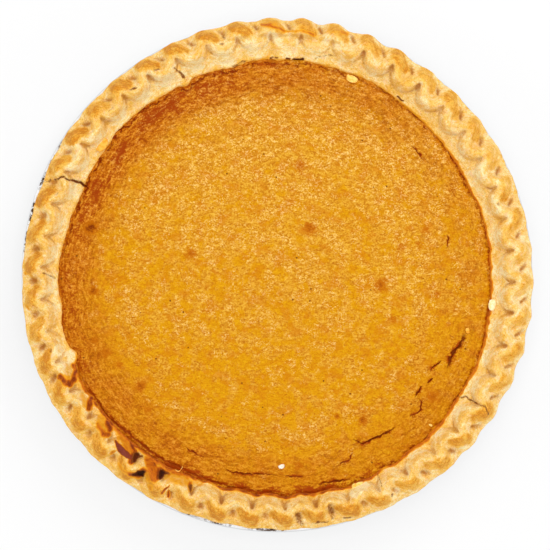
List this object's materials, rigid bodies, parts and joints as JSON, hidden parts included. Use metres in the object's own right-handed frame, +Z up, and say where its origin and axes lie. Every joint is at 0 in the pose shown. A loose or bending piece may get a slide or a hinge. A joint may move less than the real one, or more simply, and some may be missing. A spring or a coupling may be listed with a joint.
{
  "type": "sweet potato pie",
  "caption": "Whole round custard pie with a crimped pastry rim, baked in its own shallow foil tin.",
  "frame": {"origin": "centre of the tin's flat base, on the surface the pie stands on", "axes": "+Z up out of the pie; +Y points to the top of the pie as seen from above; +X to the right"},
  "size_m": [0.2448, 0.2461, 0.039],
  "materials": {
    "foil": "bright rolled foil, lightly wrinkled",
    "pastry": "baked shortcrust, golden, browner on the tops of the crimps",
    "custard": "baked sweet potato custard, orange-gold, semi-gloss"
  },
  "bodies": {
    "root": {"tin": "foil", "crust": "pastry", "filling": "custard"}
  },
  "joints": []
}
